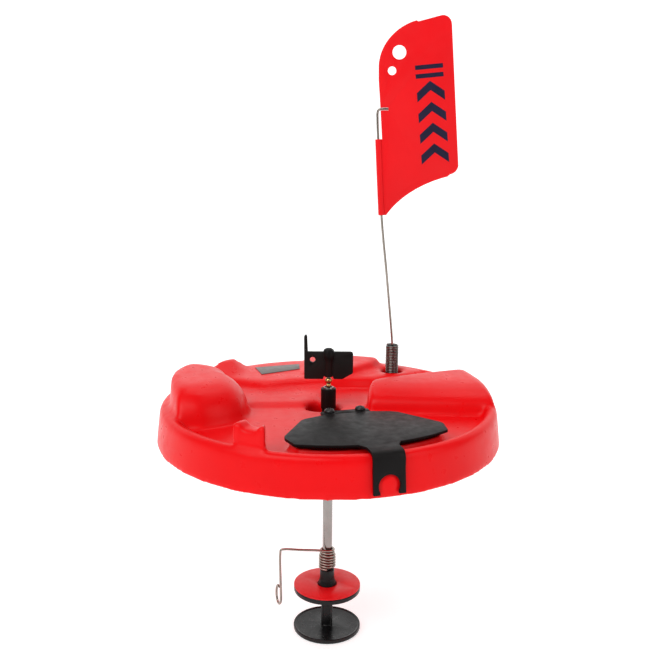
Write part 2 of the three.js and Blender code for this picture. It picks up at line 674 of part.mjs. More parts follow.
// The sheet hangs on a sleeve round the wire below, and the wire's bent end enters it above.
function flagSheet() {
  const edge = new THREE.Shape();
  edge.moveTo(-11.6, 165.8);
  edge.lineTo(-7.6, 165.8);
  edge.bezierCurveTo(2, 180, 20, 192.5, 43.6, 198.6);
  edge.lineTo(45.4, 200.4);
  edge.quadraticCurveTo(51.2, 201.6, 52.3, 207.5);
  edge.lineTo(43, 320.7);
  edge.bezierCurveTo(42.7, 325.4, 39.6, 328.9, 34.5, 328.4);
  edge.lineTo(15.6, 323.4);
  edge.lineTo(14.1, 324.2);
  edge.bezierCurveTo(3, 321.5, -15, 310, -16.2, 289);
  edge.lineTo(-16, 277);
  edge.lineTo(-14, 253);
  edge.lineTo(-12.3, 229);
  edge.lineTo(-15.4, 229);
  edge.closePath();
  [[0.6, 299.1, 5.7], [-5.1, 284.4, 3.5]].forEach(([x, z, radius]) => {
    const hole = new THREE.Path();
    hole.absarc(x, z, radius, 0, 2 * Math.PI, true);
    edge.holes.push(hole);
  });
  const slab = { depth: SHEET_THICK, bevelEnabled: false, curveSegments: 10 };
  const flat = new THREE.ExtrudeGeometry(edge, slab);
  flat.rotateX(Math.PI / 2).translate(0, SHEET_THICK / 2, 0);
  const seam = [[-11.6, 0, 165.8], [-13.7, 0, 200], [-15.4, 0, 229]];
  let sheet = solid(flat).add(solid(wire(seam, SLEEVE_R, 5, 12)));
  sheet = sheet.subtract(solid(flagWire(FLAG_WIRE_R + GAP, 10)));
  return geometryOf(sheet);
}

add('spring_socket', springSocket(), BLACK, flag);
add('flag_spring', ring(SPRING_R, SPRING_BORE, SPRING_LOW, SPRING_TOP), STEEL, flag);
add('wire_ferrule', wireFerrule(), BLACK, flag);
add('flag_wire', flagWire(), STEEL, flag);
add('flag_sheet', flagSheet(), { color: 0xf01c1c, roughness: 0.45, metalness: 0 }, flag);

export default tipUp;
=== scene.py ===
import json
import math

import bmesh
import bpy
import numpy as np
from mathutils import Matrix, Vector


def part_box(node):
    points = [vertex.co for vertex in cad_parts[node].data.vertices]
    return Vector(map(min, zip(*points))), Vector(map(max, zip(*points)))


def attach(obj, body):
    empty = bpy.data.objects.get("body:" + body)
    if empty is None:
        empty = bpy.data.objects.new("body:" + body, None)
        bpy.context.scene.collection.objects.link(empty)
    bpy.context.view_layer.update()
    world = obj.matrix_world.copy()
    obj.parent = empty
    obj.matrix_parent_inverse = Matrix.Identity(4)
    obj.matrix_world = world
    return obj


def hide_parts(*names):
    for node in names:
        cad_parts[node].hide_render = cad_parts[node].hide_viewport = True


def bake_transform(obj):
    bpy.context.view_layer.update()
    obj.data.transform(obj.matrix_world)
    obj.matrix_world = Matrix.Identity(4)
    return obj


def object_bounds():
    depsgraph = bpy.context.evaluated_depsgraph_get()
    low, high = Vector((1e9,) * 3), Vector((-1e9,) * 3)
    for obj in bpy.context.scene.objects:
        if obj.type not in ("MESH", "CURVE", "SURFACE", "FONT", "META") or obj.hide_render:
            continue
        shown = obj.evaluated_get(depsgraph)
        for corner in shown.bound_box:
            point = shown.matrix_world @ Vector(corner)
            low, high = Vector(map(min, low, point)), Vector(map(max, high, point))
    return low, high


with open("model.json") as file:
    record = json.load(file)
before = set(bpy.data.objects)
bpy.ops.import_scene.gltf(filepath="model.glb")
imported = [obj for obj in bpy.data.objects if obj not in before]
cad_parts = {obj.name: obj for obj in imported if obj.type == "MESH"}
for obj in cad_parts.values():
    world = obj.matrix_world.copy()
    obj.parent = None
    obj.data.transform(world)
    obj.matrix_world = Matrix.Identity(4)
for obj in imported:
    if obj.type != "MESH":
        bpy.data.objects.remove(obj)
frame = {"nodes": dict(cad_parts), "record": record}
cad_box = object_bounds()
nodes = frame["nodes"]
MM = 0.001
BODY_OF = {n: b for b, members in frame["record"]["behaviour"]["bodies"].items() for n in members}
SLOT_OF = {s["node"]: s["material_slot"] for s in frame["record"]["subparts"]}

# ---- camera -------------------------------------------------------------------------------------

FOCAL_PX, FRAME_PX = 900.0, 650.0
DISTANCE, HEIGHT = 0.67987, 0.23157
YAW, PITCH, ROLL = -0.0045, 0.2072, -0.0065


def make_camera():
    data = bpy.data.cameras.new("camera")
    data.sensor_width = 36.0
    data.lens = 36.0 * FOCAL_PX / FRAME_PX
    data.clip_start, data.clip_end = 0.01, 50.0
    camera = bpy.data.objects.new("camera", data)
    bpy.context.scene.collection.objects.link(camera)
    ahead = Vector((math.sin(YAW) * math.cos(PITCH), math.cos(YAW) * math.cos(PITCH), -math.sin(PITCH)))
    level = ahead.cross(Vector((0, 0, 1))).normalized()
    upward = level.cross(ahead).normalized()
    right = math.cos(ROLL) * level - math.sin(ROLL) * upward
    up = math.sin(ROLL) * level + math.cos(ROLL) * upward
    turn = Matrix((right, up, -ahead)).transposed().to_4x4()
    camera.matrix_world = Matrix.Translation((0.0, -DISTANCE, HEIGHT)) @ turn
    bpy.context.scene.camera = camera


make_camera()
bpy.context.scene.view_settings.view_transform = "Standard"

# ---- materials ----------------------------------------------------------------------------------


class Look:
    """A Principled material with its nodes driven by noise in the piece's own coordinates."""

    def __init__(self, name, colour, roughness, metallic=0.0, **sockets):
        self.material = bpy.data.materials.new(name)
        self.material.use_nodes = True
        self.material.diffuse_color = (*colour, 1.0)
        self.tree = self.material.node_tree
        self.shader = self.tree.nodes["Principled BSDF"]
        self.colour, self.roughness = colour, roughness
        self.shader.inputs["Base Color"].default_value = (*colour, 1.0)
        self.shader.inputs["Roughness"].default_value = roughness
        self.shader.inputs["Metallic"].default_value = metallic
        for socket, value in sockets.items():
            self.shader.inputs[socket.replace("_", " ")].default_value = value
        self.place = self.tree.nodes.new("ShaderNodeTexCoord").outputs["Object"]
        self.normal = None

    def link(self, a, b):
        self.tree.links.new(a, b)

    def noise(self, scale, detail=3.0, stretch=(1, 1, 1), rough=0.55):
        mapping = self.tree.nodes.new("ShaderNodeMapping")
        mapping.inputs["Scale"].default_value = stretch
        self.link(self.place, mapping.inputs["Vector"])
        texture = self.tree.nodes.new("ShaderNodeTexNoise")
        texture.inputs["Scale"].default_value = scale
        texture.inputs["Detail"].default_value = detail
        texture.inputs["Roughness"].default_value = rough
        self.link(mapping.outputs["Vector"], texture.inputs["Vector"])
        return texture.outputs["Fac"]

    def spread(self, source, low, high, start=0.3, end=0.7):
        node = self.tree.nodes.new("ShaderNodeMapRange")
        node.inputs["From Min"].default_value = start
        node.inputs["From Max"].default_value = end
        node.inputs["To Min"].default_value = low
        node.inputs["To Max"].default_value = high
        self.link(source, node.inputs["Value"])
        return node.outputs["Result"]

    def mix(self, factor, first, second):
        node = self.tree.nodes.new("ShaderNodeMix")
        node.data_type = "RGBA"
        self.link(factor, node.inputs[0])
        for index, colour in ((6, first), (7, second)):
            if isinstance(colour, tuple):
                node.inputs[index].default_value = (*colour, 1.0)
            else:
                self.link(colour, node.inputs[index])
        return node.outputs[2]

    def vary(self, amount, scale, edge_highlight=None):
        """Base colour that drifts by a share, with a painted highlight on convex edges in the colour given
        as the third argument.
        """
        dark = tuple(c * (1 - amount) for c in self.colour)
        light = tuple(min(1.0, c * (1 + amount)) for c in self.colour)
        out = self.mix(self.spread(self.noise(scale), 0, 1), dark, light)
        if edge_highlight:
            # painted highlight: convex edges are lightened towards the given colour, as if light caught
            # them
            edges = self.tree.nodes.new("ShaderNodeNewGeometry").outputs["Pointiness"]
            out = self.mix(self.spread(edges, 0.0, 0.5, 0.53, 0.62), out, edge_highlight)
        self.link(out, self.shader.inputs["Base Color"])
        return self

    def rub(self, low, high, scale, stretch=(1, 1, 1)):
        """Roughness between two values."""
        field = self.noise(scale, 5.0, stretch)
        self.link(self.spread(field, low, high), self.shader.inputs["Roughness"])
        return self

    def bump(self, scale, strength, depth, stretch=(1, 1, 1), detail=2.0):
        node = self.tree.nodes.new("ShaderNodeBump")
        node.inputs["Strength"].default_value = strength
        node.inputs["Distance"].default_value = depth
        self.link(self.noise(scale, detail, stretch), node.inputs["Height"])
        if self.normal is not None:
            self.link(self.normal, node.inputs["Normal"])
        self.normal = node.outputs["Normal"]
        self.link(self.normal, self.shader.inputs["Normal"])
        return self


ROUND_TOOL = (1, 1, 0.02)  # stretch for marks that run along Z
RINGS = (0.03, 0.03, 1)  # stretch for marks that run round


def make_looks():
    looks = {}
    red = Look("red_gloss", (0.80, 0.002, 0.004), 0.3, Specular_IOR_Level=0.14)
    looks["red_gloss_plastic"] = (
        red.vary(0.04, 22).rub(0.26, 0.40, 140).bump(1400, 0.06, 3e-5).bump(45, 0.10, 2e-4)
    )
    black = Look("black_satin", (0.0045, 0.0037, 0.0037), 0.42, Specular_IOR_Level=0.12)
    looks["black_satin_plastic"] = (
        # the third colour is a painted highlight on convex edges
        black.vary(0.25, 45, (0.020, 0.018, 0.017)).rub(0.36, 0.52, 160)
        .bump(2600, 0.22, 5e-5, detail=4).bump(90, 0.08, 2e-4)
    )
    spool = Look("spool_black", (0.0045, 0.004, 0.0045), 0.3, Specular_IOR_Level=0.25)
    looks["spool_black"] = (
        # the third colour is a painted highlight on convex edges
        spool.vary(0.25, 60, (0.03, 0.03, 0.03)).rub(0.22, 0.38, 170).bump(2200, 0.12, 4e-5)
    )
    disc = Look("red_disc", (0.66, 0.006, 0.010), 0.38, Specular_IOR_Level=0.25)
    looks["red_disc_plastic"] = disc.vary(0.06, 70).rub(0.32, 0.48, 200).bump(1500, 0.1, 4e-5)
    flag = Look("flag_red", (0.82, 0.004, 0.008), 0.4, Specular_IOR_Level=0.2)
    looks["flag_plastic"] = (
        flag.vary(0.04, 18).rub(0.34, 0.5, 90).bump(30, 0.25, 6e-4).bump(1800, 0.12, 4e-5)
    )
    screw = Look("black_oxide", (0.024, 0.023, 0.024), 0.34, 0.8)
    looks["black_screw"] = (
        # the third colour is a painted highlight on the screw heads' convex edges
        screw.vary(0.3, 300, (0.16, 0.155, 0.15)).rub(0.24, 0.46, 700).bump(2500, 0.2, 3e-5)
    )
    steel = Look("drawn_steel", (0.30, 0.285, 0.27), 0.16, 1.0)
    looks["steel"] = (
        steel.vary(0.07, 120).rub(0.10, 0.24, 1500, ROUND_TOOL).bump(3500, 0.12, 2e-5, ROUND_TOOL)
    )
    spring = Look("spring_wire", (0.19, 0.175, 0.16), 0.2, 1.0)
    looks["spring_steel"] = spring.vary(0.12, 180).rub(0.17, 0.36, 500).bump(2500, 0.15, 2e-5)
    wire = Look("bright_wire", (0.32, 0.28, 0.245), 0.16, 1.0)
    looks["wire_steel"] = wire.vary(0.10, 90).rub(0.10, 0.26, 600).bump(2200, 0.12, 2e-5)
    brass = Look("brass", (0.52, 0.34, 0.13), 0.24, 1.0)
    looks["brass"] = brass.vary(0.12, 300).rub(0.16, 0.34, 700).bump(2600, 0.12, 2e-5, RINGS)
    nylon = Look("nylon", (0.013, 0.013, 0.013), 0.45, Specular_IOR_Level=0.25)
    looks["nylon"] = nylon.vary(0.04, 90).rub(0.38, 0.55, 200).bump(1200, 0.1, 4e-5)
    foam = Look("foam", (0.80, 0.79, 0.76), 0.9)
    cells = foam.tree.nodes.new("ShaderNodeTexVoronoi")
    cells.inputs["Scale"].default_value = 320
    foam.link(foam.place, cells.inputs["Vector"])
    relief = foam.tree.nodes.new("ShaderNodeBump")
    relief.inputs["Strength"].default_value = 0.5
    relief.inputs["Distance"].default_value = 4e-4
    foam.link(cells.outputs["Distance"], relief.inputs["Height"])
    foam.normal = relief.outputs["Normal"]
    looks["foam"] = foam.vary(0.03, 200).rub(0.8, 0.95, 200).bump(900, 0.1, 1e-4)
    label = Look("label", (0.115, 0.092, 0.084), 0.42)
    looks["label"] = label.vary(0.1, 50).rub(0.34, 0.5, 200).bump(2400, 0.12, 3e-5)
    ink = Look("navy_ink", (0.012, 0.010, 0.032), 0.42, Specular_IOR_Level=0.2)
    looks["ink"] = ink.vary(0.2, 60).rub(0.35, 0.55, 260).bump(1800, 0.12, 4e-5)
    return looks


LOOKS = make_looks()

# ---- mesh helpers -------------------------------------------------------------------------------


def linked(name, mesh):
    obj = bpy.data.objects.new(name, mesh)
    bpy.context.scene.collection.objects.link(obj)
    return obj


def applied(obj):
    """The object with its modifiers, or a curve's tube, made into a plain mesh."""
    bpy.context.view_layer.update()
    deps = bpy.context.evaluated_depsgraph_get()
    mesh = bpy.data.meshes.new_from_object(obj.evaluated_get(deps))
    if obj.type == "MESH":
        obj.modifiers.clear()
        obj.data = mesh
        return obj
    name = obj.name
    bpy.data.objects.remove(obj)
    return linked(name, mesh)


def smooth(obj, degrees=32):
    obj.data.polygons.foreach_set("use_smooth", [True] * len(obj.data.polygons))
    obj.data.set_sharp_from_angle(angle=math.radians(degrees))
    return obj


def finished(obj, look, body, slot, *stands_for):
    """Gives a piece its look and its body, and hides the CAD nodes it stands for. The slot argument is not
    used.
    """
    obj.data.materials.clear()
    obj.data.materials.append(LOOKS[look].material)
    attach(obj, body)
    if stands_for:
        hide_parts(*stands_for)
    return obj


def copied(node, name):
    """A welded copy of a CAD node, with flat areas as single faces."""
    bm = bmesh.new()
    bm.from_mesh(nodes[node].data)
    bmesh.ops.remove_doubles(bm, verts=bm.verts, dist=2e-6)
    bmesh.ops.dissolve_limit(bm, angle_limit=math.radians(0.8), verts=bm.verts, edges=bm.edges)
    mesh = bpy.data.meshes.new(name)
    bm.to_mesh(mesh)
    bm.free()
    return linked(name, mesh)


def bevelled(obj, width, segments=2, degrees=35):
    edge = obj.modifiers.new("edges", "BEVEL")
    edge.width = width * MM
    edge.segments = segments
    edge.limit_method = "ANGLE"
    edge.angle_limit = math.radians(degrees)
    edge.use_clamp_overlap = True
    edge.miter_outer = "MITER_ARC"
    return applied(obj)


def lathe(name, profile, facets=64, centre=(0.0, 0.0), closed=False):
    """A solid of revolution about a vertical axis, from (radius, height) points in mm."""
    bm = bmesh.new()
    rings = []
    for radius, height in profile:
        if radius < 1e-9:
            rings.append([bm.verts.new((centre[0] * MM, centre[1] * MM, height * MM))])
            continue
        ring = []
        for i in range(facets):
            angle = 2 * math.pi * i / facets
            x = centre[0] + radius * math.cos(angle)
            y = centre[1] + radius * math.sin(angle)
            ring.append(bm.verts.new((x * MM, y * MM, height * MM)))
        rings.append(ring)
    pairs = list(zip(rings, rings[1:]))
    if closed:
        pairs.append((rings[-1], rings[0]))
    for low, high in pairs:
        for i in range(facets):
            j = (i + 1) % facets
            corners = [low[i % len(low)], low[j % len(low)], high[j % len(high)], high[i % len(high)]]
            unique = list(dict.fromkeys(corners))
            if len(unique) > 2:
                bm.faces.new(unique)
    bmesh.ops.recalc_face_normals(bm, faces=bm.faces)
    mesh = bpy.data.meshes.new(name)
    bm.to_mesh(mesh)
    bm.free()
    return linked(name, mesh)


def tube(name, points, radius, steps=8, sides=4):
    """A round wire on a smooth line through points, in mm."""
    curve = bpy.data.curves.new(name, "CURVE")
    curve.dimensions = "3D"
    curve.bevel_depth = radius * MM
    curve.bevel_resolution = sides
    curve.resolution_u = steps
    curve.use_fill_caps = True
    spline = curve.splines.new("BEZIER")
    spline.bezier_points.add(len(points) - 1)
    for point, place in zip(spline.bezier_points, points):
        point.co = Vector(place) * MM
        point.handle_left_type = point.handle_right_type = "AUTO"
    obj = bpy.data.objects.new(name, curve)
    bpy.context.scene.collection.objects.link(obj)
    return applied(obj)


def combined(obj, tool, operation):
    step = obj.modifiers.new("join", "BOOLEAN")
    step.operation = operation
    step.solver = "EXACT"
    step.object = tool
    applied(obj)
    bpy.data.objects.remove(tool)
    if not obj.data.polygons:
        raise RuntimeError(f"the {operation} on {obj.name} left nothing")
    return obj


def prism(name, loops, low, high, to_place):
    """Outlines (the first filled, the others its holes) as a slab between low and high, in mm.
    to_place turns (u, v, depth) in mm into a point."""
    curve = bpy.data.curves.new(name, "CURVE")
    curve.dimensions = "2D"
    curve.fill_mode = "BOTH"
    curve.extrude = (high - low) / 2 * MM
    for loop in loops:
        spline = curve.splines.new("POLY")
        spline.points.add(len(loop) - 1)
        spline.use_cyclic_u = True
        for point, (u, v) in zip(spline.points, loop):
            point.co = (u * MM, v * MM, 0.0, 1.0)
    obj = bpy.data.objects.new(name, curve)
    bpy.context.scene.collection.objects.link(obj)
    obj = applied(obj)
    bm = bmesh.new()
    bm.from_mesh(obj.data)
    bmesh.ops.remove_doubles(bm, verts=bm.verts, dist=1e-6)
    for vert in bm.verts:
        u, v, depth = vert.co / MM
        vert.co = Vector(to_place(u, v, depth + (high + low) / 2)) * MM
    bmesh.ops.recalc_face_normals(bm, faces=bm.faces)
    bm.to_mesh(obj.data)
    bm.free()
    return obj


def driver_slot(name, centre, half_size, depth, top, up):
    """The cutter for one arm of a cross recess in a screw head: a wedge that narrows with depth."""
    bm = bmesh.new()
    corners = []
    for height, share in ((top + 0.6 * up, 1.0), (top, 1.0), (top - depth * up, 0.45)):
        for sx, sy in ((-1, -1), (1, -1), (1, 1), (-1, 1)):
            spot = (centre[0] + sx * half_size[0] * share, centre[1] + sy * half_size[1] * share, height)
            corners.append(bm.verts.new(Vector(spot) * MM))
    for level in (0, 4):
        for i in range(4):
            j = (i + 1) % 4
            bm.faces.new((corners[level + i], corners[level + j], corners[level + 4 + j],
                          corners[level + 4 + i]))
    bm.faces.new(corners[0:4])
    bm.faces.new(corners[8:12])
    bmesh.ops.recalc_face_normals(bm, faces=bm.faces)
    mesh = bpy.data.meshes.new(name)
    bm.to_mesh(mesh)
    bm.free()
    return linked(name, mesh)


# ---- red cover ----------------------------------------------------------------------------------

COVER_FACETS = 72
DECK_GRAIN = 1.55  # mm between points of the moulded surface
EVEN_ROUNDS = 40
LOBE_LIMIT = 121.0  # mm from the shaft, inside which the raised shapes are softest
LOBE_FADE = 4.0  # mm over which that softness fades in at the rim
RAISED_LOW, RAISED_FADE = 20.0, 3.0  # mm, the height at which a shape counts as raised
LOBE_ROUNDS, REST_ROUNDS = 22, 12


def trued(obj, facets):
    """Moves the points of a faceted round piece out onto its true circles about the shaft."""
    co = np.empty(len(obj.data.vertices) * 3, np.float32)
    obj.data.vertices.foreach_get("co", co)
    co = co.reshape(-1, 3)
    step = 2 * math.pi / facets
    off = np.mod(np.arctan2(co[:, 1], co[:, 0]), step) - step / 2
    share = np.cos(off) / math.cos(step / 2)
    co[:, 0] *= share
    co[:, 1] *= share
    obj.data.vertices.foreach_set("co", co.ravel())
    obj.data.update()
    return obj


def softened(obj, group, factor, rounds):
    step = obj.modifiers.new("soften", "SMOOTH")
    step.factor = factor
    step.iterations = rounds
    step.vertex_group = group
    return obj


def evened(obj, rounds, inward=0.5, outward=-0.52):
    """Smooths a mesh without shrinking it: each smoothing step is followed by one back."""
    mesh = obj.data
    count = len(mesh.vertices)
    co = np.empty(count * 3, np.float32)
    mesh.vertices.foreach_get("co", co)
    co = co.reshape(-1, 3).astype(np.float64)
    pairs = np.empty(len(mesh.edges) * 2, np.int32)
    mesh.edges.foreach_get("vertices", pairs)
    first, second = pairs.reshape(-1, 2).T
    ends = np.concatenate((first, second))
    others = np.concatenate((second, first))
    degree = np.bincount(ends, minlength=count)
    for factor in (inward, outward) * rounds:
        for axis in range(3):
            total = np.bincount(ends, weights=co[others, axis], minlength=count)
            co[:, axis] += factor * (total / degree - co[:, axis])
    mesh.vertices.foreach_set("co", co.astype(np.float32).ravel())
    mesh.update()
    return obj


def make_deck():
    deck = copied("deck_shell", "moulded_deck")
    grid = deck.modifiers.new("grid", "REMESH")
    grid.mode = "VOXEL"
    grid.voxel_size = DECK_GRAIN * MM
    applied(deck)
    trued(deck, COVER_FACETS)
    evened(deck, EVEN_ROUNDS)
    lobes = deck.vertex_groups.new(name="lobes")
    rest = deck.vertex_groups.new(name="rest")
    for vert in deck.data.vertices:
        reach = math.hypot(vert.co.x, vert.co.y) / MM
        raised = min(1.0, max(0.0, (vert.co.z / MM - RAISED_LOW) / RAISED_FADE))
        inner = min(1.0, max(0.0, (LOBE_LIMIT - reach) / LOBE_FADE))
        if raised * inner > 0:
            lobes.add([vert.index], raised * inner, "REPLACE")
        rest.add([vert.index], 1.0, "REPLACE")
    softened(deck, "lobes", 0.5, LOBE_ROUNDS)
    softened(deck, "rest", 0.5, REST_ROUNDS)
    applied(deck)
    deck.vertex_groups.clear()
    deck.data.polygons.foreach_set("use_smooth", [True] * len(deck.data.polygons))
    return finished(deck, "red_gloss_plastic", "base", "red_gloss_plastic", "deck_shell")


make_deck()

# ---- pieces that keep the CAD shape, with moulded edges -------------------------------------------

EDGES = {  # node: bevel in mm
    "bottom_cover": 0.6, "foam_insert": 0.5, "label_plate": 0.25, "lid_hinge_strip": 0.35,
    "lid_flap": 0.45, "shaft_bushing": 0.25, "spring_socket": 0.3, "tube_collar": 0.15,
    "outer_tube": 0.15, "tube_bushing_upper": 0.15, "tube_bushing_lower": 0.15, "inner_rod": 0.15,
    "trip_plate": 0.35, "spool_upper_flange": 0.3, "spool_disc": 0.2, "spool_body": 0.3,
    "spool_nut": 0.15, "wire_ferrule": 0.2,
}

LID_CORNER = 4.0  # mm, the rounding of the lid's outline seen from above
LID_NECK_R = 112.0  # mm from the shaft, where the lid narrows into its tab


def rounded_outline(piece, radius, reach):
    """Rounds the upright outside corners of a flat plate that lie within reach of the shaft."""
    bm = bmesh.new()
    bm.from_mesh(piece.data)
    corners = []
    for edge in bm.edges:
        first, second = (vert.co for vert in edge.verts)
        upright = math.hypot(first.x - second.x, first.y - second.y) < 1e-5
        near = math.hypot(first.x, first.y) / MM < reach
        if upright and near and edge.is_convex and edge.calc_face_angle(0.0) > math.radians(18):
            corners.append(edge)
    bmesh.ops.bevel(bm, geom=corners, offset=radius * MM, segments=6, profile=0.5, affect="EDGES",
                    clamp_overlap=True)
    bm.to_mesh(piece.data)
    bm.free()


for node, width in EDGES.items():
    piece = copied(node, "finished_" + node)
    if node == "lid_flap":
        rounded_outline(piece, LID_CORNER, LID_NECK_R)
    bevelled(piece, width, 3 if width > 0.25 else 2)
    smooth(piece)
    finished(piece, SLOT_OF[node], BODY_OF[node], SLOT_OF[node], node)

# ---- screws ---------------------------------------------------------------------------------------


RECESS_REACH, RECESS_WIDTH, RECESS_DEPTH = 1.7, 0.42, 1.1  # mm, half length, half width, depth


def recessed_copy(node, up):
    """A screw with a cross recess in its head, which is its top (up is 1) or its foot (up is -1)."""
    low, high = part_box(node)
    centre = ((low.x + high.x) / 2 / MM, (low.y + high.y) / 2 / MM)
    piece = copied(node, "finished_" + node)
    bevelled(piece, 0.2, 2)
    face = (high.z if up > 0 else low.z) / MM
    for arm in ((RECESS_REACH, RECESS_WIDTH), (RECESS_WIDTH, RECESS_REACH)):
        combined(piece, driver_slot("cutter", centre, arm, RECESS_DEPTH, face, up), "DIFFERENCE")
    smooth(piece)
    return finished(piece, SLOT_OF[node], BODY_OF[node], SLOT_OF[node], node)


for side in ("left", "right"):
    recessed_copy("lid_screw_" + side, 1)
for number in range(1, 7):
    recessed_copy(f"cover_screw_{number}", -1)

# ---- beads ----------------------------------------------------------------------------------------


def make_bead(node, radius, centre, bore=1.35):
    reach = math.acos(bore / radius)
    profile = []
    for i in range(17):
        angle = -reach + 2 * reach * i / 16
        profile.append((radius * math.cos(angle), centre + radius * math.sin(angle)))
    bead = lathe("turned_" + node, profile, 48, closed=True)
    smooth(bead, 50)
    finished(bead, "brass", "rotor", "brass", node)


make_bead("bead_lower", 1.9, 40.4)
make_bead("bead_upper", 2.75, 44.3)

# ---- line guide -----------------------------------------------------------------------------------


def guide_points():
    coil_r, grip_r, pitch, low, coil_turns, arm = 6.05, 5.25, 2.3, -113.3, 5, 38.0
    per_turn, turns = 12, 7
    points = []
    for i in range(turns * per_turn + 1):
        done = i / per_turn
        angle = math.radians(-90 - 360 * turns + 360 * done)
        t = min(1.0, max(0.0, (done - coil_turns + 0.4) / 0.8))
        radius = coil_r + (grip_r - coil_r) * t * t * (3 - 2 * t)
        points.append((-radius * math.cos(angle), radius * math.sin(angle), low + pitch * done))
    top, y = low + pitch * turns, -grip_r
    points += [(-6, y, top + 0.6), (-20, y, top + 0.9), (2.5 - arm, y, top + 1.3)]
    points += [(0.6 - arm, y, top + 0.7), (-arm, y, top - 1.6)]
    tall, wide = 8.0, 5.0
    middle = -146 + tall
    points += [(-arm, y, -120), (-arm + 0.4, y, middle + 4)]
    for degrees in range(0, 291, 29):
        angle = math.radians(degrees)
        across = wide * (1 - math.cos(angle))
        points.append((0.4 - arm - across * 0.42, y + across * 0.9, middle - tall * math.sin(angle)))
    return points


guide = smooth(tube("bent_line_guide", guide_points(), 0.95, 6, 5), 60)
finished(guide, "wire_steel", "guide", "wire_steel", "line_guide")

# ---- flag spring, wire and sheet ------------------------------------------------------------------

SPRING_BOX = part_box("flag_spring")
FLAG_X = (SPRING_BOX[0].x + SPRING_BOX[1].x) / 2 / MM
FLAG_Y = (SPRING_BOX[0].y + SPRING_BOX[1].y) / 2 / MM
SPRING_LOW, SPRING_TOP = SPRING_BOX[0].z / MM, SPRING_BOX[1].z / MM
SPRING_R, SPRING_WIRE, SPRING_PITCH = 5.7, 0.68, 1.42
WIRE_R, WIRE_BORE_R, SLEEVE_R = 1.0, 1.3, 2.7
SHEET_HALF = 0.6


def make_spring():
    low, top = SPRING_LOW + SPRING_WIRE, SPRING_TOP - SPRING_WIRE
    turns = (top - low) / SPRING_PITCH
    per_turn, sides = 24, 8
    count = int(turns * per_turn)
    line_r = SPRING_R - SPRING_WIRE
    bm = bmesh.new()
    rings = []
    for i in range(count + 1):
        angle = 2 * math.pi * i / per_turn
        out = Vector((math.cos(angle), math.sin(angle), 0.0))
        middle = Vector((FLAG_X, FLAG_Y, low + (top - low) * i / count)) + out * line_r
        ring = []
        for k in range(sides):
            tilt = 2 * math.pi * k / sides
            spot = middle + (out * math.cos(tilt) + Vector((0, 0, 1)) * math.sin(tilt)) * SPRING_WIRE
            ring.append(bm.verts.new(spot * MM))
        rings.append(ring)
    for first, second in zip(rings, rings[1:]):
        for k in range(sides):
            m = (k + 1) % sides
            bm.faces.new((first[k], first[m], second[m], second[k]))
    bm.faces.new(rings[0])
    bm.faces.new(rings[-1])
    bmesh.ops.recalc_face_normals(bm, faces=bm.faces)
    mesh = bpy.data.meshes.new("wound_spring")
    bm.to_mesh(mesh)
    bm.free()
    spring = smooth(linked("wound_spring", mesh), 60)
    spring.data.materials.append(LOOKS["spring_steel"].material)
    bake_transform(spring)
    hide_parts("flag_spring")


make_spring()

WIRE_RUN = [(0, 43.5), (0, 53), (-0.4, 59), (-5.6, 110), (-11.6, 166), (-15.4, 228), (-16.4, 246),
            (-16.4, 250.6), (-15.6, 252.9), (-13, 253.6), (-7.5, 253.7)]
wire_line = [(FLAG_X + x, FLAG_Y, z) for x, z in WIRE_RUN]
flag_wire = smooth(tube("bent_flag_wire", wire_line, WIRE_R, 14, 5), 60)
finished(flag_wire, "wire_steel", "flag", "wire_steel", "flag_wire")


def bezier(a, b, c, d, count):
    out = []
    for i in range(1, count + 1):
        t = i / count
        s = 1 - t
        out.append(tuple(s ** 3 * p + 3 * s * s * t * q + 3 * s * t * t * r + t ** 3 * e
                         for p, q, r, e in zip(a, b, c, d)))
    return out


def bend(a, b, c, count):
    """A quadratic corner."""
    first = tuple(p + 2 * (q - p) / 3 for p, q in zip(a, b))
    second = tuple(r + 2 * (q - r) / 3 for q, r in zip(b, c))
    return bezier(a, first, second, c, count)


def flag_outline():
    edge = [(-11.6, 165.8), (-7.6, 165.8)]
    edge += bezier(edge[-1], (2, 180), (20, 192.5), (43.6, 198.6), 26)
    edge.append((45.4, 200.4))
    edge += bend(edge[-1], (51.2, 201.6), (52.3, 207.5), 10)
    edge.append((43, 320.7))
    edge += bezier(edge[-1], (42.7, 325.4), (39.6, 328.9), (34.5, 328.4), 14)
    edge += [(15.6, 323.4), (14.1, 324.2)]
    edge += bezier(edge[-1], (3, 321.5), (-15, 310), (-16.2, 289), 26)
    edge += [(-16, 277), (-14, 253), (-12.3, 229), (-15.4, 229)]
    return edge


def round_hole(x, z, radius, count=40):
    return [(x + radius * math.cos(2 * math.pi * i / count), z + radius * math.sin(2 * math.pi * i / count))
            for i in range(count)]


def on_flag(u, v, depth):
    return (FLAG_X + u, FLAG_Y + depth, v)


def make_flag():
    loops = [flag_outline(), round_hole(0.6, 299.1, 5.7), round_hole(-5.1, 284.4, 3.5)]
    sheet = prism("flag_panel", loops, -SHEET_HALF, SHEET_HALF, on_flag)
    bm = bmesh.new()
    bm.from_mesh(sheet.data)
    bmesh.ops.dissolve_limit(bm, angle_limit=math.radians(0.5), verts=bm.verts, edges=bm.edges)
    bm.to_mesh(sheet.data)
    bm.free()
    seam = [(FLAG_X - 11.6, FLAG_Y, 165.8), (FLAG_X - 13.7, FLAG_Y, 200), (FLAG_X - 15.4, FLAG_Y, 229)]
    combined(sheet, tube("sleeve", seam, SLEEVE_R, 10, 7), "UNION")
    bore = [(FLAG_X + x, FLAG_Y, z) for x, z in WIRE_RUN]
    combined(sheet, tube("bore", bore, WIRE_BORE_R, 14, 4), "DIFFERENCE")
    bevelled(sheet, 0.25, 2, 50)
    smooth(sheet)
    finished(sheet, "flag_plastic", "flag", "flag_plastic", "flag_sheet")


make_flag()


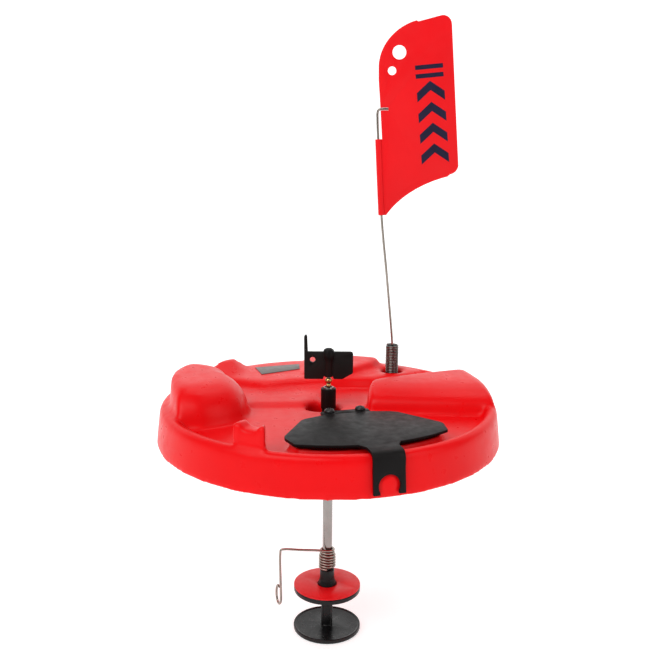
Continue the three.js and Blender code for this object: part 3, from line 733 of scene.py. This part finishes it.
PRINT_LOW, PRINT_STEP, PRINT_RISE, PRINT_STROKE, PRINT_HALF = 0.0, 17.0, 9.0, 7.5, 11.5
PRINT_AT, PRINT_LEAN = (33.0, 209.5), -5.7  # its foot on the sheet, and its lean in degrees
CHEVRONS, BAR_STEP, BAR_THICK = 4, 7.0, 3.6


def make_print():
    """Plain chevrons and bars on both faces, in place of lettering."""
    marks = []
    for i in range(CHEVRONS):
        low = PRINT_LOW + i * PRINT_STEP
        rise, wide, thick = PRINT_RISE, PRINT_HALF, PRINT_STROKE
        marks.append([(-wide, low), (0, low + rise), (wide, low), (wide, low + thick),
                      (0, low + rise + thick), (-wide, low + thick)])
    top = PRINT_LOW + CHEVRONS * PRINT_STEP + 2.0
    for bar in (0, 1):
        low = top + bar * BAR_STEP
        marks.append([(-PRINT_HALF, low), (PRINT_HALF, low),
                      (PRINT_HALF, low + BAR_THICK), (-PRINT_HALF, low + BAR_THICK)])
    lean = math.radians(-PRINT_LEAN)
    for face, depth in (("front", (-0.66, -0.56)), ("back", (0.56, 0.66))):
        loops = []
        for mark in marks:
            turned = []
            for u, v in mark:
                v -= PRINT_LOW
                turned.append((PRINT_AT[0] + u * math.cos(lean) - v * math.sin(lean),
                               PRINT_AT[1] + u * math.sin(lean) + v * math.cos(lean)))
            loops.append(turned)
        ink = prism("flag_print_" + face, loops, *depth, on_flag)
        finished(ink, "ink", "flag", "flag_plastic")


make_print()

# ---- floor, lights --------------------------------------------------------------------------------


FLOOR_DROP = 0.0005  # metres below the part's lowest point


def make_floor():
    """A pale floor that curves up into a wall behind."""
    low = cad_box[0].z - FLOOR_DROP
    line = [(-4.0, low), (1.2, low)]
    for i in range(1, 13):
        angle = math.pi / 2 * i / 12
        line.append((1.2 + 1.0 * math.sin(angle), low + 1.0 - 1.0 * math.cos(angle)))
    line.append((2.2, 3.5))
    bm = bmesh.new()
    rows = [[bm.verts.new((x, y, z)) for x in (-5.0, 5.0)] for y, z in line]
    for first, second in zip(rows, rows[1:]):
        bm.faces.new((first[0], first[1], second[1], second[0]))
    mesh = bpy.data.meshes.new("floor")
    bm.to_mesh(mesh)
    bm.free()
    floor = smooth(linked("floor", mesh), 60)
    paint = Look("floor_paint", (0.62, 0.62, 0.62), 0.8)
    paint.vary(0.01, 3).bump(200, 0.02, 1e-4)
    paint.shader.inputs["Emission Color"].default_value = (1, 1, 1, 1)
    paint.shader.inputs["Emission Strength"].default_value = 0.62
    floor.data.materials.append(paint.material)


def soft_light(name, place, target, size, power):
    data = bpy.data.lights.new(name, "AREA")
    data.shape = "RECTANGLE"
    data.size, data.size_y = size
    data.energy = power
    lamp = bpy.data.objects.new(name, data)
    bpy.context.scene.collection.objects.link(lamp)
    lamp.location = place
    lamp.rotation_mode = "QUATERNION"
    lamp.rotation_quaternion = (Vector(target) - Vector(place)).to_track_quat("-Z", "Y")


def soft_sun(strength, heading):
    data = bpy.data.lights.new("daylight", "SUN")
    data.energy = strength
    data.angle = math.radians(40)
    lamp = bpy.data.objects.new("daylight", data)
    bpy.context.scene.collection.objects.link(lamp)
    lamp.rotation_mode = "QUATERNION"
    lamp.rotation_quaternion = Vector(heading).to_track_quat("-Z", "Y")


def make_world(strength):
    world = bpy.data.worlds.new("studio")
    world.use_nodes = True
    back = world.node_tree.nodes["Background"]
    back.inputs["Color"].default_value = (1, 1, 1, 1)
    back.inputs["Strength"].default_value = strength
    bpy.context.scene.world = world


make_floor()
make_world(0.3)
soft_sun(1.25, (0.35, 0.6, -0.75))
soft_light("key", (-1.0, -0.9, 0.8), (0, 0, 0.0), (0.5, 1.0), 4.5)
soft_light("fill", (1.1, -0.7, 0.6), (0, 0, 0.0), (0.5, 1.0), 3)
soft_light("top", (0.1, 0.5, 1.3), (0, 0, 0.05), (1.0, 0.6), 4)
